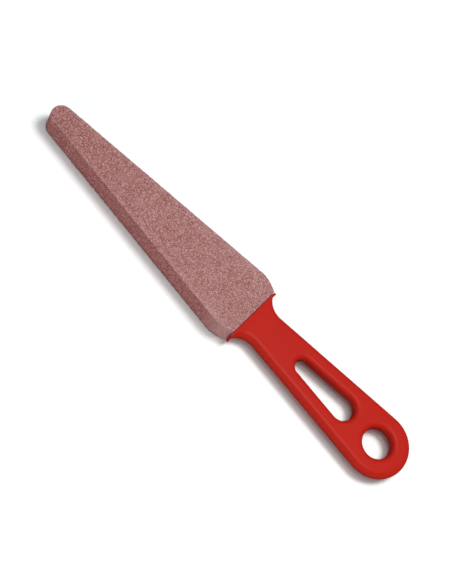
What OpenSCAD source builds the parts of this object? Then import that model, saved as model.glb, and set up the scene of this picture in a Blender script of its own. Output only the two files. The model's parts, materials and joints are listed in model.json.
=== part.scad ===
// Hand-held knife sharpener: a flat, tapered block of bonded abrasive grain, glued over the tongue
// of a handle that is moulded in one piece with its collar.
// +X runs from the stone's tip to the handle's end and +Z is up. The origin is under the middle of
// the whole length, on the stone's back face, which the sharpener rests on.

/* [Stone] */
// Length of the stone, from its tip to the joint
stone_l = 154; // [110:1:200]
// Radius of the stone's broad end, in plan
stone_end_r = 20.3; // [18:0.1:26]
// Distance from the broad end's centre to the joint, which cuts the end off
stone_end_inset = 11; // [7:0.5:13.5]
// Radius of the stone's tip, in plan
stone_tip_r = 6.4; // [4:0.1:9]
// Thickness of the stone
stone_t = 15; // [12:0.5:20]

/* [Handle] */
// Length of the handle, from the collar's face to its end
handle_l = 115.7; // [95:0.1:145]
// Thickness of the handle
handle_t = 8; // [7.4:0.1:9.6]
// Width of the neck, at its narrowest
neck_w = 23; // [20:0.5:28]
// Distance from the collar's face to the centre of the neck's width
neck_x = 13.5; // [11:0.5:18]
// Width of the round end
end_w = 37.6; // [32:0.2:46]
// Radius of the hollow curve from the collar to the neck
flare_r = 11.6; // [9:0.1:14]
// Radius of the handle's outer edges
edge_r = 3.5; // [2:0.1:3.6]

/* [Collar and tongue] */
// Thickness of the collar along the handle
collar_l = 1.7; // [1.2:0.1:2.5]
// How far the collar stands out past each side of the stone at the joint
collar_overhang = 2.1; // [0.5:0.1:3]
// How far the collar stands above the handle's faces
collar_lip = 0.4; // [0.2:0.1:1]
// Radius of the collar's corners
collar_corner_r = 1.6; // [0.5:0.1:3]
// Length of the tongue inside the stone
tongue_l = 60; // [40:1:80]
// Width of the tongue
tongue_w = 20; // [14:0.5:22]
// How far the tongue is set in from the handle's faces
tongue_step = 0.6; // [0.2:0.1:1.2]

/* [Slot and hanging hole] */
// Width of the rail left on each side of the slot
rail_w = 9.4; // [8.2:0.1:9.8]
// Distance from the collar's face to the slot's narrow end
slot_start = 35; // [30:0.5:45]
// Web left between the slot and the hanging hole
web_w = 10.8; // [8:0.1:14]
// Radius of the hanging hole
hole_r = 8.6; // [6:0.1:9.5]
// Material left between the hanging hole and the handle's end
hole_margin = 10.7; // [9:0.1:14]
// Radius of the rims of the slot and the hanging hole
rim_r = 3; // [1.5:0.1:3.4]

/* [Joint] */
// Thickness of the adhesive round the tongue
glue_gap = 0.4; // [0.2:0.05:0.6]
// Thickness of the adhesive between the stone and the collar
glue_film = 0.3; // [0.2:0.05:0.6]
// How far the film of adhesive stays back from the collar's edges
glue_inset = 0.2; // [0.1:0.1:1.2]

/* [Hidden] */
$fn = 96;
overall_l = stone_l + glue_film + handle_l;
joint_x = stone_l - overall_l / 2;        // the stone's end face
collar_x = joint_x + glue_film;           // the collar's face, where the handle's own frame starts
mid_z = stone_t / 2;                      // the plane that halves the stone and the handle
joint_w = 2 * sqrt(pow(stone_end_r, 2) - pow(stone_end_inset, 2));
collar_w = joint_w + 2 * collar_overhang;
collar_t = handle_t + 2 * collar_lip;
tongue_t = handle_t - 2 * tongue_step;
neck_r = neck_w / 2;
end_r = end_w / 2;
end_x = handle_l - end_r;
hole_x = handle_l - hole_margin - hole_r;
taper = asin((end_r - neck_r) / (end_x - neck_x));
flare_x = neck_x - (neck_r + flare_r) * sin(taper);
flare_y = (neck_r + flare_r) * cos(taper);
slot_end = hole_x - hole_r - web_w;
slot_r1 = (half_span(slot_start) - rail_w) / (1 - sin(taper));
slot_r2 = (half_span(slot_end) - rail_w) / (1 + sin(taper));
slot_x1 = slot_start + slot_r1;
slot_x2 = slot_end - slot_r2;
bead_in = 1;                              // how far an edge bead reaches into the plate beside it
overlap = 0.5;                            // how far the plate reaches into the bead in return
past = 1;                                 // how far a cut runs past the face it cuts
lap = 0.3;                                // how far a straight edge runs on into a round one
shy = 0.04;                               // how far it lies inside the round one's surface there

stone_colour = [0.66, 0.46, 0.45];
handle_colour = [0.76, 0.16, 0.12];
adhesive_colour = [0.34, 0.20, 0.17];

// Distance from the axis at x to the handle's side, measured square to that side
function half_span(x) = neck_r + (x - neck_x) * sin(taper);

// A plate t thick: two round ends on the X axis and the straight sides that touch both
module tapered_plate(x1, r1, x2, r2, t) {
    s = (r2 - r1) / (x2 - x1);
    c = sqrt(1 - s * s);
    q1 = r1 - shy;
    q2 = r2 - shy;
    translate([x1, 0, 0]) cylinder(h = t, r = r1, center = true);
    translate([x2, 0, 0]) cylinder(h = t, r = r2, center = true);
    linear_extrude(t, center = true) polygon([
        [x1 - q1 * s, q1 * c], [x2 - q2 * s, q2 * c],
        [x2 - q2 * s, -q2 * c], [x1 - q1 * s, -q1 * c]
    ]);
}

// A rectangle in the YZ plane with round corners, l thick along X
module corner_plate(l, w, t, r) {
    rotate([90, 0, 90]) linear_extrude(l) {
        square([w - 2 * r, t], center = true);
        square([w, t - 2 * r], center = true);
        for (y = [-1, 1], z = [-1, 1])
            translate([y * (w / 2 - r), z * (t / 2 - r)]) circle(r);
    }
}

// Section of the handle's edge: flat faces up to x = 0, then a round edge that ends at x = r - less
module edge_profile(r, less = 0) {
    q = r - less;
    half = handle_t / 2 - less;
    difference() {
        translate([-bead_in, -half]) square([bead_in + q, 2 * half]);
        for (y = [-1, 1]) difference() {
            translate([0, y * half - (1 - y) / 2 * past - (1 + y) / 2 * q])
                square([q + past, q + past]);
            translate([0, y * (half - q)]) circle(q);
        }
    }
}

// Straight edge from x1 to x2 beside the axis, for a side that touches circles r1 and r2 there
module edge_bar(x1, r1, x2, r2, r, inward = false) {
    s = (r2 - r1) / (x2 - x1);
    c = sqrt(1 - s * s);
    length = (x2 - x1) * c + 2 * lap;
    turn = inward ? 1 : 0;
    translate([x1 - r1 * s, r1 * c, 0])
        rotate([0, 0, asin(s)]) translate([-lap, 0, 0])
            rotate([90, 0, 90])
                linear_extrude(length)
                    mirror([turn, 0]) edge_profile(r, shy);
}

// Round edge that follows a circle of radius path_r, facing out of the circle or into it
module edge_arc(path_r, from, sweep, r, inward = false) {
    turn = inward ? 1 : 0;
    rotate([0, 0, from])
        rotate_extrude(angle = sweep)
            translate([path_r, 0]) mirror([turn, 0]) edge_profile(r);
}

module both_sides() {
    children();
    mirror([0, 1, 0]) children();
}

module tongue_shape(extra, l) {
    linear_extrude(tongue_t + 2 * extra, center = true) {
        translate([-l + tongue_w / 2, 0]) circle(tongue_w / 2 + extra);
        translate([-l + tongue_w / 2, -tongue_w / 2 - extra])
            square([l - tongue_w / 2, tongue_w + 2 * extra]);
    }
}

module stone_blank() {
    difference() {
        tapered_plate(
            stone_tip_r - stone_l, stone_tip_r,
            -stone_end_inset, stone_end_r,
            stone_t
        );
        translate([0, -stone_end_r, -stone_t])
            cube([stone_end_r, 2 * stone_end_r, 2 * stone_t]);
    }
}

module abrasive_stone() {
    color(stone_colour) translate([joint_x, 0, mid_z]) difference() {
        stone_blank();
        translate([glue_film, 0, 0]) tongue_shape(glue_gap, tongue_l);
    }
}

// The handle's flat plate, drawn in as far as the beads that round its edges
module handle_plate() {
    inset = edge_r + bead_in - overlap;
    rim_inset = rim_r + bead_in - overlap;
    cut_t = handle_t + 2 * past;
    difference() {
        union() {
            tapered_plate(neck_x, neck_r - inset, end_x, end_r - inset, handle_t);
            difference() {
                translate([collar_l / 2, -flare_y, -handle_t / 2])
                    cube([flare_x, 2 * flare_y, handle_t]);
                for (y = [-1, 1])
                    translate([flare_x, y * flare_y, 0])
                        cylinder(h = cut_t, r = flare_r + inset, center = true);
            }
        }
        tapered_plate(
            slot_x1, slot_r1 + rim_inset,
            slot_x2, slot_r2 + rim_inset,
            cut_t
        );
        translate([hole_x, 0, 0]) cylinder(h = cut_t, r = hole_r + rim_inset, center = true);
    }
}

// The round edge of the hollow curve between the collar and the neck
module flare_edge() {
    path_r = flare_r + edge_r;
    intersection() {
        translate([flare_x, flare_y, 0]) edge_arc(path_r, 180, 90 + taper, edge_r, true);
        translate([collar_l / 2, 0, -handle_t])
            cube([neck_x, flare_y + flare_r, 2 * handle_t]);
    }
}

module outer_edge() {
    both_sides() {
        flare_edge();
        edge_bar(neck_x, neck_r - edge_r, end_x, end_r - edge_r, edge_r);
    }
    translate([end_x, 0, 0])
        edge_arc(end_r - edge_r, -90 - taper, 180 + 2 * taper, edge_r);
}

module slot_edge() {
    path_r1 = slot_r1 + rim_r;
    path_r2 = slot_r2 + rim_r;
    both_sides() edge_bar(slot_x1, path_r1, slot_x2, path_r2, rim_r, true);
    translate([slot_x1, 0, 0]) edge_arc(path_r1, 90 + taper, 180 - 2 * taper, rim_r, true);
    translate([slot_x2, 0, 0]) edge_arc(path_r2, -90 - taper, 180 + 2 * taper, rim_r, true);
}

module hole_edge() {
    translate([hole_x, 0, 0]) edge_arc(hole_r + rim_r, 0, 360, rim_r, true);
}

module handle() {
    color(handle_colour) translate([collar_x, 0, mid_z]) {
        handle_plate();
        outer_edge();
        slot_edge();
        hole_edge();
        corner_plate(collar_l, collar_w, collar_t, collar_corner_r);
        tongue_shape(0, tongue_l);
    }
}

// Adhesive that fills the socket round the tongue and the joint between the stone and the collar
module adhesive() {
    film_w = joint_w - 2 * glue_inset;
    film_t = collar_t - 2 * glue_inset;
    color(adhesive_colour) translate([collar_x, 0, mid_z]) difference() {
        union() {
            tongue_shape(glue_gap, tongue_l);
            translate([-glue_film, 0, 0])
                corner_plate(glue_film, film_w, film_t, collar_corner_r - glue_inset);
        }
        tongue_shape(0, tongue_l);
    }
}

abrasive_stone();
handle();
adhesive();
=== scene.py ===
"""Looks of a hand knife sharpener: an abrasive stone glued on the tongue of a moulded handle.

The script is laid out as an add-on and is run as a script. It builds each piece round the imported
CAD frame, in metres, with the CAD's own axes: +X from the stone's tip to the handle's end, +Z up.
"""

import json
import math

import bpy
from mathutils import Matrix, Vector

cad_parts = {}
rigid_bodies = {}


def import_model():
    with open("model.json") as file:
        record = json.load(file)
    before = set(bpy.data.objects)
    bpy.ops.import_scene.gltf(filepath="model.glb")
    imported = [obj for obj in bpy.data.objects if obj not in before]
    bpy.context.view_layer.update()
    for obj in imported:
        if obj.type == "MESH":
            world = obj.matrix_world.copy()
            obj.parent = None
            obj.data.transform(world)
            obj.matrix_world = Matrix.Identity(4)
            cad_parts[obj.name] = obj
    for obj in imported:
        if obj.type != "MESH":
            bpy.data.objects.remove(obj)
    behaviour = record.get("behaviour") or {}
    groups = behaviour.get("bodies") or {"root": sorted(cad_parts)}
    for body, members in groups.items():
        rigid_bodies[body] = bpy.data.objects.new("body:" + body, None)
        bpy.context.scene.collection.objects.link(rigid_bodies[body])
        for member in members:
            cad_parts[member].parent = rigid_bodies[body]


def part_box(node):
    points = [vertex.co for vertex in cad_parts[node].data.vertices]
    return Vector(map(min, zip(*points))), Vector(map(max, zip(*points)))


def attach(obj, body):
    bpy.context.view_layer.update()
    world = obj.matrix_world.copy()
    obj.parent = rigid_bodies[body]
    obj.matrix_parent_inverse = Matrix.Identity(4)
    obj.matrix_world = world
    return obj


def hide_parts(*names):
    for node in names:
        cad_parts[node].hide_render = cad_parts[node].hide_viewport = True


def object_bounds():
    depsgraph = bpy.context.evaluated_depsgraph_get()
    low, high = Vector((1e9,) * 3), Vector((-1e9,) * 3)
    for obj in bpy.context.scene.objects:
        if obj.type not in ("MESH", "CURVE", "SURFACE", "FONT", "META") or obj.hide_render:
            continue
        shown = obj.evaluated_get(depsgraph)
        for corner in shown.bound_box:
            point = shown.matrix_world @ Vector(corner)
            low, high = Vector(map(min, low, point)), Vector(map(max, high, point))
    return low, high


bl_info = {
    "name": "Hand knife sharpener",
    "version": (1, 0, 0),
    "blender": (4, 5, 0),
    "location": "3D View > Sidebar > Sharpener",
    "description": "Builds an abrasive stone on a moulded plastic handle, with its studio",
    "category": "Object",
}

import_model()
CAD_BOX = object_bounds()
STONE_LOW, STONE_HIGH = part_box("abrasive_stone")
HANDLE_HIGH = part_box("handle")[1]
MM = 0.001
BODY = "root"
SIDE_SHADE_TINT = (1.12, 0.94, 0.93)  # painted shade: the stone's sides get a redder, deeper copy of the grain colour, the look they have in shade
MID_Z = (STONE_LOW.z + STONE_HIGH.z) / 2
JOINT_X = STONE_HIGH.x


def length(name, description, default_mm, low_mm=0.0, high_mm=1000.0):
    return bpy.props.FloatProperty(
        name=name,
        description=description,
        default=default_mm * MM,
        min=low_mm * MM,
        max=high_mm * MM,
        precision=5,
        unit="LENGTH",
    )


def colour(name, description, rgb):
    return bpy.props.FloatVectorProperty(
        name=name, description=description, default=rgb, min=0.0, max=1.0, size=3, subtype="COLOR"
    )


class StoneSettings(bpy.types.PropertyGroup):
    tip_radius: length("Tip radius", "Radius of the stone's tip, in plan", 6.4)
    end_radius: length("End radius", "Radius of the stone's broad end, in plan", 20.3)
    end_inset: length("End inset", "From the broad end's centre to the joint", 11)
    edge_wear: length("Edge wear", "Radius that use has worn on the stone's long edges", 0.5)
    grit: length("Grit", "Size of one abrasive grain", 0.48)
    relief: length("Relief", "Depth of the pits between the grains", 0.16)
    mesh_size: length("Mesh size", "Edge length of the stone's mesh", 0.42, 0.3, 5)
    pale_colour: colour("Pale grain", "Colour of the palest grains", (0.52, 0.30, 0.285))
    body_colour: colour("Grain", "Colour of most of the grains", (0.280, 0.109, 0.103))
    dark_colour: colour("Dark grain", "Colour of the darkest grains", (0.145, 0.033, 0.032))
    # Also used as painted light: on the flats towards the broad end, and on the sides near it.
    dust_and_light_colour: colour("Dust", "Colour of the dust that lies in the grain", (0.52, 0.36, 0.34))


class HandleSettings(bpy.types.PropertyGroup):
    thickness: length("Thickness", "Thickness of the grip", 8)
    neck_width: length("Neck width", "Width of the neck at its narrowest", 23)
    neck_x: length("Neck place", "From the collar's face to the centre of the neck's width", 13.5)
    end_width: length("End width", "Width of the round end", 37.6)
    flare_radius: length("Flare radius", "Radius of the hollow from the collar to the neck", 11.6)
    edge_radius: length("Edge radius", "Radius of the outer edges", 3.5)
    rim_radius: length("Rim radius", "Radius of the rims of the slot and the hole", 3)
    rail_width: length("Rail width", "Width of the rail on each side of the slot", 9.4)
    slot_start: length("Slot start", "From the collar's face to the slot's narrow end", 35)
    web_width: length("Web width", "Web between the slot and the hole", 10.8)
    hole_radius: length("Hole radius", "Radius of the hanging hole", 8.6)
    hole_margin: length("Hole margin", "From the hole to the handle's end", 10.7)
    collar_length: length("Collar", "Thickness of the collar along the handle", 1.7)
    collar_lip: length("Collar lip", "How far the collar stands above the grip's faces", 0.4)
    collar_overhang: length("Collar overhang", "How far the collar stands out past the stone", 2.1)
    collar_corner: length("Collar corner", "Radius of the collar's corners, seen end on", 1.6)
    tab_taper: length("Tab taper", "How much thinner the collar is at its two ends", 0.3)
    collar_bevel: length("Collar edge", "Radius of the collar's edges", 0.3)
    ramp_length: length("Ramp length", "Length of the slope up to the collar", 2.2)
    ramp_width: length("Ramp width", "Width of the slope, at the collar", 31)
    ramp_foot: length("Ramp foot", "Width of the slope, where it meets the grip", 22.32)
    tongue_length: length("Tongue length", "Length of the tongue inside the stone", 60)
    tongue_width: length("Tongue width", "Width of the tongue", 20)
    tongue_step: length("Tongue step", "How far the tongue is set in from the grip's faces", 0.6)
    glue_gap: length("Adhesive", "Thickness of the adhesive round the tongue", 0.4)
    glue_film: length("Joint", "Thickness of the adhesive between stone and collar", 0.3)
    squeeze_out: length("Squeeze-out", "How far the adhesive spreads past each side of the stone", 1.0)
    parting_width: length("Parting width", "Width of the mould's parting line", 0.3)
    parting_height: length("Parting height", "Height of the mould's parting line", 0.05)
    plastic_colour: colour("Plastic", "Colour of the moulded plastic", (0.405, 0.0080, 0.0018))
    adhesive_colour: colour("Adhesive", "Colour of the hardened adhesive", (0.16, 0.06, 0.05))


class StageSettings(bpy.types.PropertyGroup):
    distance: length("Distance", "From the camera to the point that it looks at", 759, 100, 5000)
    aim_along: length("Aim along", "How far past the middle the camera looks, along +X", 0.75)
    aim_across: length("Aim across", "How far off the middle the camera looks, along -Y", 0.25)
    lean: bpy.props.FloatProperty(
        name="Lean",
        description="Angle of the view from straight above",
        default=math.radians(27.24),
        subtype="ANGLE",
    )
    turn: bpy.props.FloatProperty(
        name="Turn",
        description="Direction that the view leans in, from +X",
        default=math.radians(-86.52),
        subtype="ANGLE",
    )
    roll: bpy.props.FloatProperty(
        name="Roll",
        description="Turn of the camera about its own axis",
        default=math.radians(42.5),
        subtype="ANGLE",
    )
    lens: bpy.props.FloatProperty(
        name="Lens", description="Focal length in millimetres", default=86.54, min=10, max=300
    )
    key_power: bpy.props.FloatProperty(
        name="Key", description="Power of the main soft light", default=9.8, min=0, unit="POWER"
    )
    overhead_power: bpy.props.FloatProperty(
        name="Overhead", description="Power of the broad light overhead", default=3.4, min=0,
        unit="POWER",
    )
    sheen_power: bpy.props.FloatProperty(
        name="Sheen", description="Power of the light that the plastic mirrors", default=1.9, min=0,
        unit="POWER",
    )
    fill_power: bpy.props.FloatProperty(
        name="Fill", description="Power of the low soft light", default=4.6, min=0, unit="POWER"
    )
    room_light: bpy.props.FloatProperty(
        name="Room", description="Brightness of the room's even light", default=0.22, min=0
    )
    room_colour: colour("Room colour", "Colour of the room's even light", (0.86, 1.0, 1.0))
    floor_colour: colour("Floor", "Colour of the floor", (0.86, 0.86, 0.86))


# ---------------------------------------------------------------- modelling helpers


def start_object(name):
    """A new empty mesh, selected alone, so that the next operator acts on it alone."""
    if bpy.context.object and bpy.context.object.mode != "OBJECT":
        bpy.ops.object.mode_set(mode="OBJECT")
    bpy.ops.object.select_all(action="DESELECT")
    bpy.ops.mesh.primitive_circle_add(vertices=3, radius=MM)
    piece = bpy.context.object
    piece.name = name
    piece.data.name = name
    bpy.ops.object.mode_set(mode="EDIT")
    bpy.ops.mesh.select_all(action="SELECT")
    bpy.ops.mesh.delete(type="VERT")
    return piece


def edit(piece):
    settle(piece)
    bpy.ops.object.mode_set(mode="EDIT")


def settle(piece):
    """Leaves edit mode with the piece selected alone and its place in its mesh."""
    if bpy.context.object and bpy.context.object.mode != "OBJECT":
        bpy.ops.object.mode_set(mode="OBJECT")
    bpy.ops.object.select_all(action="DESELECT")
    bpy.context.view_layer.objects.active = piece
    piece.select_set(True)
    bpy.ops.object.transform_apply(location=True, rotation=True, scale=True)


def pick(piece, kind, test):
    """Selects the vertices, edges or faces that pass the test, which gets their points."""
    bpy.ops.mesh.select_mode(type=kind)
    bpy.ops.mesh.select_all(action="DESELECT")
    bpy.ops.object.mode_set(mode="OBJECT")
    points = [v.co for v in piece.data.vertices]
    if kind == "VERT":
        for v in piece.data.vertices:
            v.select = test([v.co])
    else:
        parts = piece.data.edges if kind == "EDGE" else piece.data.polygons
        for part in parts:
            part.select = test([points[i] for i in part.vertices])
    bpy.ops.object.mode_set(mode="EDIT")


def modify(piece, kind, **values):
    """Adds a modifier, sets it and applies it."""
    settle(piece)
    modifier = piece.modifiers.new(kind.title(), kind)
    for key, value in values.items():
        setattr(modifier, key, value)
    bpy.ops.object.modifier_apply(modifier=modifier.name)


def combine(piece, other, operation):
    """Joins another closed piece to this one, or cuts it away, and removes the other."""
    settle(other)
    modify(piece, "BOOLEAN", operation=operation, solver="EXACT", object=other)
    bpy.data.objects.remove(other)


def hulled(name, *makers):
    """A convex piece round the primitives that the makers add."""
    piece = start_object(name)
    for make in makers:
        make()
    bpy.ops.mesh.select_all(action="SELECT")
    bpy.ops.mesh.convex_hull()
    settle(piece)
    return piece


def rod(x, radius, height, vertices=96):
    return lambda: bpy.ops.mesh.primitive_cylinder_add(
        vertices=vertices, radius=radius, depth=height, location=(x, 0, MID_Z)
    )


def block(x, wide, high, thick):
    """A thin upright plate at x, for a hull to end on, or a box if it is thick."""
    return lambda: bpy.ops.mesh.primitive_cube_add(
        size=1, location=(x, 0, MID_Z), scale=(thick, wide, high)
    )


def spin(centre, degrees, axis=(0, 0, 1), per_step=4):
    """Sweeps the selection about an axis through the centre, anticlockwise."""
    bpy.ops.mesh.spin(
        steps=max(2, round(abs(degrees) / per_step)),
        angle=-math.radians(degrees),
        center=centre,
        axis=axis,
    )


def pull(offset):
    """Extrudes the selection by the offset."""
    bpy.ops.mesh.extrude_region_move(TRANSFORM_OT_translate={"value": tuple(offset)})


def heading(degrees):
    """The level direction at that angle from +X."""
    return Vector((math.cos(math.radians(degrees)), math.sin(math.radians(degrees)), 0))


def finish_piece(piece, replaced, material, smooth_angle=35):
    """Outward faces, smooth shading, its material, and its place in the frame."""
    edit(piece)
    bpy.ops.mesh.select_all(action="SELECT")
    bpy.ops.mesh.normals_make_consistent(inside=False)
    settle(piece)
    bpy.ops.object.shade_smooth_by_angle(angle=math.radians(smooth_angle))
    piece.data.materials.clear()
    piece.data.materials.append(material)
    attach(piece, BODY)
    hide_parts(replaced)


# ---------------------------------------------------------------- shape of the handle


class Grip:
    """Places along the handle, worked out from its sizes as the part's own model does."""

    def __init__(self, s):
        self.start = JOINT_X + s.glue_film
        self.half = s.thickness / 2
        neck_r = s.neck_width / 2
        neck_x = self.start + s.neck_x
        self.end_r = s.end_width / 2
        end_x = HANDLE_HIGH.x - self.end_r
        slope = (self.end_r - neck_r) / (end_x - neck_x)
        self.taper = math.degrees(math.asin(slope))
        self.end = Vector((end_x, 0, MID_Z))
        self.side = (end_x - neck_x) * math.sqrt(1 - slope ** 2)
        flare_span = neck_r + s.flare_radius
        self.flare = Vector((neck_x, 0, MID_Z)) + flare_span * heading(90 + self.taper)
        hole_x = HANDLE_HIGH.x - s.hole_margin - s.hole_radius
        self.hole = Vector((hole_x, 0, MID_Z))
        slot_start = self.start + s.slot_start
        slot_end = hole_x - s.hole_radius - s.web_width
        self.slot_r1 = (neck_r + (slot_start - neck_x) * slope - s.rail_width) / (1 - slope)
        self.slot_r2 = (neck_r + (slot_end - neck_x) * slope - s.rail_width) / (1 + slope)
        self.slot_1 = Vector((slot_start + self.slot_r1, 0, MID_Z))
        self.slot_2 = Vector((slot_end - self.slot_r2, 0, MID_Z))
        self.slot_side = (self.slot_2.x - self.slot_1.x) * math.sqrt(1 - slope ** 2)


def draw_edge_section(at, outward, radius, half, ridge=None):
    """Draws the section of a round edge, from its top face to its bottom one, and selects it.

    at is the middle of the wall, outward the way that the wall faces, and ridge the width and
    the height of a parting line.
    """
    up = Vector((0, 0, 1))
    across = up.cross(outward)
    wall = half - radius
    bpy.ops.mesh.select_mode(type="VERT")
    bpy.ops.mesh.select_all(action="DESELECT")
    bpy.ops.mesh.primitive_circle_add(vertices=3, radius=MM)
    bpy.ops.mesh.merge(type="CENTER")
    bpy.ops.transform.translate(value=at - outward * radius + up * half)
    spin(at - outward * radius + up * wall, 90, across, 9)
    if ridge:
        width, height = ridge
        pull(-up * (wall - width / 2))
        pull(outward * height - up * height)
        pull(-up * (width - 2 * height))
        pull(-outward * height - up * height)
        pull(-up * (wall - width / 2))
    else:
        pull(-up * 2 * wall)
    spin(at - outward * radius - up * wall, 90, across, 9)
    bpy.ops.mesh.select_linked()


def sweep_outer_edge(s, g):
    """The grip's edge, from the collar along the hollow and the side, round the end and back."""
    back = Vector((g.flare.x, -g.flare.y, MID_Z))
    ridge = (s.parting_width, s.parting_height)
    draw_edge_section(g.flare - heading(0) * s.flare_radius, heading(0), s.edge_radius, g.half, ridge)
    spin(g.flare, 90 + g.taper)
    pull(heading(g.taper) * g.side)
    spin(g.end, -180 - 2 * g.taper)
    pull(heading(180 - g.taper) * g.side)
    spin(back, 90 + g.taper)


def sweep_slot_rim(s, g):
    """The rim of the tapered slot: round its narrow end, along a side, round the wide end, back."""
    start = g.slot_1 + heading(90 + g.taper) * g.slot_r1
    draw_edge_section(start, heading(g.taper - 90), s.rim_radius, g.half)
    spin(g.slot_1, 180 - 2 * g.taper, per_step=6)
    pull(heading(-g.taper) * g.slot_side)
    spin(g.slot_2, 180 + 2 * g.taper, per_step=6)
    pull(heading(180 + g.taper) * g.slot_side)


def sweep_hole_rim(s, g):
    start = g.hole + heading(0) * s.hole_radius
    draw_edge_section(start, heading(180), s.rim_radius, g.half)
    spin(g.hole, 360, per_step=6)


def close_grip(grip, s, g):
    """Trims the edges inside the collar, and fills the end there and the two flat faces."""
    tiny = 0.001 * MM
    cut_x = g.start + s.collar_length / 2
    bpy.ops.mesh.select_all(action="SELECT")
    bpy.ops.mesh.remove_doubles(threshold=tiny)
    bpy.ops.mesh.select_all(action="SELECT")
    bpy.ops.mesh.bisect(
        plane_co=(cut_x, 0, 0), plane_no=(1, 0, 0), clear_inner=True, threshold=tiny / 10
    )
    for side in (1, -1):
        face_z = MID_Z + side * g.half
        pick(grip, "VERT", lambda p: abs(p[0].z - face_z) < tiny and abs(p[0].x - cut_x) < tiny)
        bpy.ops.mesh.edge_face_add()
        pick(grip, "EDGE", lambda p: all(abs(q.z - face_z) < tiny for q in p))
        bpy.ops.mesh.fill(use_beauty=True)
    pick(grip, "EDGE", lambda p: all(abs(q.x - cut_x) < tiny for q in p))
    bpy.ops.mesh.edge_face_add()


def model_grip(s, g):
    grip = start_object("handle_moulding")
    sweep_outer_edge(s, g)
    sweep_slot_rim(s, g)
    sweep_hole_rim(s, g)
    close_grip(grip, s, g)
    settle(grip)
    return grip


def round_plate(name, x, width, height, thick, corner):
    """A flat upright plate at x, its four corners rounded as seen end on."""
    plate = start_object(name)
    block(x, width, height, thick)()
    pick(plate, "EDGE", lambda p: abs(p[0].x - p[1].x) > thick / 2)
    bpy.ops.mesh.bevel(offset=corner, segments=6, affect="EDGES")
    return plate


def joint_width(stone):
    """How wide the stone is where it is cut off flat against the collar."""
    return 2 * math.sqrt(stone.end_radius ** 2 - stone.end_inset ** 2)


def model_collar(s, g, stone):
    """The collar: a flat plate with rounded edges, a little wider than the stone's end."""
    width = joint_width(stone) + 2 * s.collar_overhang
    height = 2 * (g.half + s.collar_lip)
    collar = round_plate(
        "collar", g.start + s.collar_length / 2, width, height, s.collar_length, s.collar_corner
    )
    back = g.start + s.collar_length
    edge = width / 2 - s.collar_corner
    pick(collar, "VERT", lambda p: p[0].x > back - MM / 100 and abs(p[0].y) > edge - MM / 100)
    bpy.ops.transform.translate(value=(-s.tab_taper, 0, 0))
    settle(collar)
    modify(collar, "BEVEL", width=s.collar_bevel, segments=3, limit_method="ANGLE",
           angle_limit=math.radians(40))
    return collar


def model_ramp(s, g):
    """The slope that the grip's faces climb to reach the collar."""
    low_x = g.start + s.collar_length + s.ramp_length
    return hulled(
        "ramp",
        block(g.start + s.collar_length / 2, s.ramp_width, 2 * (g.half + s.collar_lip), MM / 10),
        block(low_x, s.ramp_foot, 2 * g.half - MM / 10, MM / 10),
    )


def model_tongue(s, g, extra=0.0, past=0.0):
    """The tongue, or with extra the socket that it and its adhesive fill."""
    thick = 2 * (g.half - s.tongue_step + extra)
    radius = s.tongue_width / 2 + extra
    return hulled(
        "tongue",
        rod(g.start - s.tongue_length + s.tongue_width / 2, radius, thick, 48),
        block(g.start + past, 2 * radius, thick, MM),
    )


# ---------------------------------------------------------------- materials


class Shader:
    """A short way to write a node tree: each call adds a node and returns one of its outputs."""

    def __init__(self, name):
        self.material = bpy.data.materials.new(name)
        self.material.use_nodes = True
        self.tree = self.material.node_tree
        self.surface = self.tree.nodes["Principled BSDF"]
        coordinates = self.tree.nodes.new("ShaderNodeTexCoord")
        self.place = coordinates.outputs["Object"]

    def set(self, socket, value):
        if isinstance(value, bpy.types.NodeSocket):
            self.tree.links.new(value, socket)
        elif socket.type == "RGBA":
            socket.default_value = (*value, 1.0)
        else:
            socket.default_value = value

    def node(self, kind, inputs, output=0, **settings):
        node = self.tree.nodes.new(kind)
        for key, value in settings.items():
            setattr(node, key, value)
        for key, value in inputs.items():
            self.set(node.inputs[key], value)
        return node.outputs[output]

    def noise(self, size, detail=2.0, roughness=0.5, output=0):
        return self.node(
            "ShaderNodeTexNoise",
            {"Vector": self.place, "Scale": 1 / size, "Detail": detail, "Roughness": roughness},
            output,
        )

    def cells(self, size, output, place):
        return self.node("ShaderNodeTexVoronoi", {"Vector": place, "Scale": 1 / size}, output)

    def math(self, operation, a, b=0.0):
        return self.node("ShaderNodeMath", {0: a, 1: b}, operation=operation)

    def span(self, value, low, high, to_low=0.0, to_high=1.0):
        return self.node(
            "ShaderNodeMapRange",
            {"Value": value, "From Min": low, "From Max": high, "To Min": to_low, "To Max": to_high},
            interpolation_type="SMOOTHSTEP",
        )

    def mix(self, factor, a, b, blend="MIX"):
        node = self.tree.nodes.new("ShaderNodeMix")
        node.data_type = "RGBA"
        node.blend_type = blend
        colours = [i for i in node.inputs if i.type == "RGBA"]
        self.set(node.inputs[0], factor)
        self.set(colours[0], a)
        self.set(colours[1], b)
        return next(o for o in node.outputs if o.type == "RGBA")

    def first_channel(self, value):
        return self.node("ShaderNodeSeparateColor", {0: value}, 0)

    def bump(self, height, depth, strength=1.0, normal=None):
        inputs = {"Height": height, "Distance": depth, "Strength": strength}
        if normal:
            inputs["Normal"] = normal
        return self.node("ShaderNodeBump", inputs)


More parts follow.
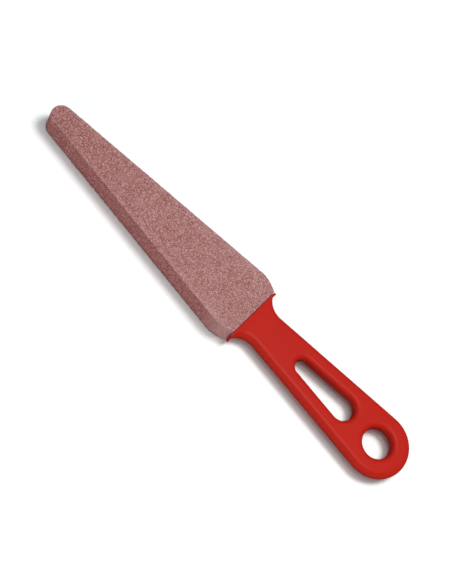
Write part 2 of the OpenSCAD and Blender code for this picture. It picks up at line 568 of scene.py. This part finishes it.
def abrasive_material(s):
    """Bonded grain: pale, middling and dark grains; on the flats dust with painted light, paler
    towards the broad end, and on the sides painted shade, with painted light near the broad end.
    """
    m = Shader("bonded_abrasive_grain")
    wobble = m.noise(2.5 * s.grit, output=1)
    place = m.node("ShaderNodeVectorMath", {0: wobble, "Scale": 0.4 * s.grit}, operation="SCALE")
    place = m.node("ShaderNodeVectorMath", {0: m.place, 1: place}, operation="ADD")
    grains = m.cells(s.grit, "Color", place)
    depth = m.cells(s.grit, "Distance", place)
    chips = m.cells(0.5 * s.grit, "Color", place)
    shade = m.math("MULTIPLY", m.first_channel(grains), 0.7)
    shade = m.math("ADD", shade, m.math("MULTIPLY", m.first_channel(chips), 0.3))
    dark = m.mix(m.span(shade, 0.10, 0.45), s.dark_colour, s.body_colour)
    grain = m.mix(m.span(shade, 0.55, 0.92), dark, s.pale_colour)
    grain = m.mix(m.span(depth, 0.55, 0.95, 0.0, 0.5), grain, s.dark_colour)
    clouds = m.span(m.noise(11 * MM, 3.0), 0.3, 0.7, 0.0, 0.07)
    along = m.node("ShaderNodeSeparateXYZ", {0: m.place}, 0)
    across = m.math("ABSOLUTE", m.node("ShaderNodeSeparateXYZ", {0: m.place}, 1))
    half = m.node(
        "ShaderNodeMapRange",
        {"Value": along, "From Min": STONE_LOW.x + s.tip_radius, "From Max": JOINT_X - s.end_inset,
         "To Min": s.tip_radius, "To Max": s.end_radius},
    )
    rubbed = m.span(m.math("DIVIDE", across, half), 0.70, 0.98, 0.0, 0.09)
    # Painted light: the flats grow paler towards the broad end, standing in for light that is brighter
    # there.
    painted_heel_light = m.span(along, STONE_LOW.x, STONE_HIGH.x, 0.0, 0.08)
    # Only the flats, facing up or down, take the dust and painted light; the sides take painted shade,
    # so the flats look lit and the sides shaded.
    facing = m.node("ShaderNodeNewGeometry", {}, "Normal")
    flat = m.math("ABSOLUTE", m.node("ShaderNodeSeparateXYZ", {0: facing}, 2))
    flat = m.span(flat, 0.25, 0.8)
    dust_and_light = m.math("ADD", m.math("ADD", clouds, painted_heel_light), rubbed)
    dust_and_light = m.math("MULTIPLY", dust_and_light, flat)
    flats_dust_and_light = m.mix(dust_and_light, grain, s.dust_and_light_colour)
    # Painted light: near the broad end the sides fade to the dust colour as if lit there, which
    # softens the edge between side and flat.
    corner = m.span(along, JOINT_X - 1.2 * s.end_radius, JOINT_X, 0.0, 0.35)
    # Painted shade: the sides, which face neither up nor down, take the grain colour tinted redder and
    # deeper, as in shade.
    shaded_sides = m.mix(1.0, grain, SIDE_SHADE_TINT, "MULTIPLY")
    shaded_sides = m.mix(corner, shaded_sides, s.dust_and_light_colour)
    # Flats: dust and painted light. Sides: painted shade.
    m.set(m.surface.inputs["Base Color"], m.mix(flat, shaded_sides, flats_dust_and_light))
    m.set(m.surface.inputs["Roughness"], m.span(m.first_channel(chips), 0.0, 1.0, 0.62, 0.95))
    m.set(m.surface.inputs["Specular IOR Level"], 0.3)
    relief = m.bump(m.math("SUBTRACT", 1.0, depth), 0.12 * MM, 0.6)
    fine = m.bump(m.noise(0.18 * MM, 3.0, 0.6), 0.05 * MM, 0.5, relief)
    m.set(m.surface.inputs["Normal"], fine)
    return m.material


def plastic_material(s):
    """Moulded plastic: one colour through, satin, with the fine grain of a spark-eroded mould."""
    m = Shader("red_moulded_plastic")
    drift = m.noise(22 * MM, 3.0, 0.55)
    colour = m.mix(m.span(drift, 0.3, 0.7, 0.0, 0.5), tuple(s.plastic_colour),
                   tuple(0.94 * c for c in s.plastic_colour))
    m.set(m.surface.inputs["Base Color"], colour)
    rubs = m.noise(3 * MM, 6.0, 0.7)
    m.set(m.surface.inputs["Roughness"], m.span(rubs, 0.25, 0.75, 0.36, 0.42))
    m.set(m.surface.inputs["Specular IOR Level"], 0.32)
    grain = m.bump(m.noise(0.40 * MM, 3.0, 0.6), 0.02 * MM, 0.7)
    m.set(m.surface.inputs["Normal"], grain)
    return m.material


def adhesive_material(s):
    """Hardened adhesive: dark and dull, with small lumps."""
    m = Shader("hardened_adhesive")
    lumps = m.noise(0.9 * MM, 4.0, 0.6)
    colour = m.mix(m.span(lumps, 0.35, 0.7), s.adhesive_colour,
                   tuple(0.55 * c for c in s.adhesive_colour))
    m.set(m.surface.inputs["Base Color"], colour)
    m.set(m.surface.inputs["Roughness"], m.span(lumps, 0.3, 0.7, 0.5, 0.8))
    m.set(m.surface.inputs["Normal"], m.bump(lumps, 0.08 * MM, 0.5))
    return m.material


def floor_material(s):
    m = Shader("studio_floor")
    m.set(m.surface.inputs["Base Color"], tuple(s.floor_colour))
    m.set(m.surface.inputs["Roughness"], 0.9)
    m.set(m.surface.inputs["Specular IOR Level"], 0.0)
    return m.material


# ---------------------------------------------------------------- operators


def pit_texture(name, kind, size, **settings):
    texture = bpy.data.textures.new(name, kind)
    texture.noise_scale = size
    for key, value in settings.items():
        setattr(texture, key, value)
    return texture


class SHARPENER_OT_stone(bpy.types.Operator):
    """Models the abrasive stone: a flat tapered prism, its broken surface, and its socket"""

    bl_idname = "sharpener.stone"
    bl_label = "Build stone"

    def execute(self, context):
        s = context.scene.sharpener_stone
        h = context.scene.sharpener_handle
        thick = STONE_HIGH.z - STONE_LOW.z
        stone = hulled(
            "abrasive_stone_body",
            rod(STONE_LOW.x + s.tip_radius, s.tip_radius, thick),
            rod(JOINT_X - s.end_inset, s.end_radius, thick),
        )
        modify(stone, "BEVEL", width=s.edge_wear, segments=3, limit_method="ANGLE",
               angle_limit=math.radians(60))
        modify(stone, "REMESH", mode="VOXEL", voxel_size=s.mesh_size, use_smooth_shade=True)
        pits = pit_texture("grain_pits", "VORONOI", 1.6 * s.grit, distance_metric="DISTANCE")
        modify(stone, "DISPLACE", texture=pits, texture_coords="LOCAL", mid_level=0.4,
               strength=-s.relief)
        wear = pit_texture("worn_waves", "CLOUDS", 9 * s.grit, noise_depth=2)
        modify(stone, "DISPLACE", texture=wear, texture_coords="LOCAL", mid_level=0.5,
               strength=-s.relief)
        edit(stone)
        bpy.ops.mesh.select_all(action="SELECT")
        bpy.ops.mesh.bisect(
            plane_co=(JOINT_X, 0, 0), plane_no=(1, 0, 0), clear_outer=True, use_fill=True,
            threshold=MM / 10000,
        )
        combine(stone, model_tongue(h, Grip(h), h.glue_gap, past=MM), "DIFFERENCE")
        finish_piece(stone, "abrasive_stone", abrasive_material(s), 180)
        return {"FINISHED"}


class SHARPENER_OT_handle(bpy.types.Operator):
    """Models the handle in one moulding: grip, slot, hanging hole, collar and tongue"""

    bl_idname = "sharpener.handle"
    bl_label = "Build handle"

    def execute(self, context):
        s = context.scene.sharpener_handle
        g = Grip(s)
        handle = model_grip(s, g)
        combine(handle, model_ramp(s, g), "UNION")
        combine(handle, model_collar(s, g, context.scene.sharpener_stone), "UNION")
        combine(handle, model_tongue(s, g), "UNION")
        finish_piece(handle, "handle", plastic_material(s))
        modify(handle, "WEIGHTED_NORMAL", keep_sharp=True)
        return {"FINISHED"}


class SHARPENER_OT_adhesive(bpy.types.Operator):
    """Models the adhesive: a film that spreads just past the stone, and a coat on the tongue"""

    bl_idname = "sharpener.adhesive"
    bl_label = "Build adhesive"

    def execute(self, context):
        s = context.scene.sharpener_handle
        g = Grip(s)
        adhesive = round_plate(
            "adhesive_film", JOINT_X + s.glue_film / 2,
            joint_width(context.scene.sharpener_stone) + 2 * s.squeeze_out,
            2 * (g.half + s.collar_lip - s.collar_bevel), s.glue_film, s.collar_corner,
        )
        settle(adhesive)
        combine(adhesive, model_tongue(s, g, s.glue_gap, past=-(s.glue_film + MM) / 2), "UNION")
        combine(adhesive, model_tongue(s, g, past=MM), "DIFFERENCE")
        finish_piece(adhesive, "adhesive", adhesive_material(s))
        return {"FINISHED"}


class SHARPENER_OT_stage(bpy.types.Operator):
    """Builds the floor, the soft lights and the camera"""

    bl_idname = "sharpener.stage"
    bl_label = "Build stage"

    def execute(self, context):
        s = context.scene.sharpener_stage
        middle = (CAD_BOX[0] + CAD_BOX[1]) / 2
        bpy.ops.object.select_all(action="DESELECT")
        bpy.ops.mesh.primitive_grid_add(x_subdivisions=8, y_subdivisions=8, size=6)
        floor = context.object
        floor.name = "floor"
        floor.data.materials.append(floor_material(s))
        floor.visible_glossy = False
        self.light("key_light", (0.21, 0.34, 1.11), 0.42, s.key_power, middle, False)
        self.light("overhead_light", (0.0, 0.0, 1.15), 1.1, s.overhead_power, middle, False)
        self.light("sheen_light", (0.0, 0.0, 1.1), 0.65, s.sheen_power, middle, True)
        self.light("fill_light", (0.30, -1.05, 0.24), 0.8, s.fill_power, middle, False)
        context.scene.world = self.room(s)
        context.scene.view_settings.view_transform = "Standard"
        context.scene.camera = self.camera(s, middle + Vector((s.aim_along, -s.aim_across, 0)))
        return {"FINISHED"}

    @staticmethod
    def room(s):
        """Even light from above the horizon, and a tenth of it from below."""
        world = bpy.data.worlds.new("studio_world")
        world.use_nodes = True
        nodes, links = world.node_tree.nodes, world.node_tree.links
        direction = nodes.new("ShaderNodeTexCoord").outputs["Generated"]
        upward = nodes.new("ShaderNodeSeparateXYZ")
        links.new(direction, upward.inputs[0])
        above = nodes.new("ShaderNodeMapRange")
        above.inputs["From Min"].default_value = -0.05
        above.inputs["From Max"].default_value = 0.05
        above.inputs["To Min"].default_value = 0.1 * s.room_light
        above.inputs["To Max"].default_value = s.room_light
        links.new(upward.outputs[2], above.inputs["Value"])
        background = nodes["Background"]
        background.inputs["Color"].default_value = (*s.room_colour, 1)
        links.new(above.outputs[0], background.inputs["Strength"])
        return world

    @staticmethod
    def light(name, place, size, power, aim, in_gloss):
        data = bpy.data.lights.new(name, "AREA")
        data.shape = "DISK"
        data.size = size
        data.energy = power
        light = bpy.data.objects.new(name, data)
        bpy.context.scene.collection.objects.link(light)
        light.visible_glossy = in_gloss
        light.location = place
        light.rotation_euler = (light.location - aim).to_track_quat("Z", "Y").to_euler()

    @staticmethod
    def camera(s, aim):
        out = Vector((
            math.sin(s.lean) * math.cos(s.turn),
            math.sin(s.lean) * math.sin(s.turn),
            math.cos(s.lean),
        ))
        data = bpy.data.cameras.new("camera")
        data.lens = s.lens
        camera = bpy.data.objects.new("camera", data)
        bpy.context.scene.collection.objects.link(camera)
        facing = out.to_track_quat("Z", "Y").to_matrix()
        rolled = facing @ Matrix.Rotation(s.roll, 3, "Z")
        camera.matrix_world = Matrix.Translation(aim + out * s.distance) @ rolled.to_4x4()
        return camera


class SHARPENER_PT_panel(bpy.types.Panel):
    """The sharpener's operators and the sizes and colours that they use"""

    bl_idname = "SHARPENER_PT_panel"
    bl_label = "Hand knife sharpener"
    bl_space_type = "VIEW_3D"
    bl_region_type = "UI"
    bl_category = "Sharpener"

    def draw(self, context):
        scene = context.scene
        groups = (
            ("sharpener.stone", scene.sharpener_stone),
            ("sharpener.handle", scene.sharpener_handle),
            ("sharpener.adhesive", None),
            ("sharpener.stage", scene.sharpener_stage),
        )
        for operator, settings in groups:
            box = self.layout.box()
            box.operator(operator)
            if settings:
                for name in settings.bl_rna.properties.keys():
                    if name not in ("rna_type", "name"):
                        box.prop(settings, name)


SETTINGS = {
    "sharpener_stone": StoneSettings,
    "sharpener_handle": HandleSettings,
    "sharpener_stage": StageSettings,
}
CLASSES = (
    *SETTINGS.values(),
    SHARPENER_OT_stone,
    SHARPENER_OT_handle,
    SHARPENER_OT_adhesive,
    SHARPENER_OT_stage,
    SHARPENER_PT_panel,
)


def register():
    for cls in CLASSES:
        bpy.utils.register_class(cls)
    for name, settings in SETTINGS.items():
        setattr(bpy.types.Scene, name, bpy.props.PointerProperty(type=settings))


def unregister():
    for name in SETTINGS:
        delattr(bpy.types.Scene, name)
    for cls in reversed(CLASSES):
        bpy.utils.unregister_class(cls)


def main():
    register()
    bpy.ops.sharpener.stage()
    bpy.ops.sharpener.stone()
    bpy.ops.sharpener.handle()
    bpy.ops.sharpener.adhesive()


if __name__ == "__main__":
    main()
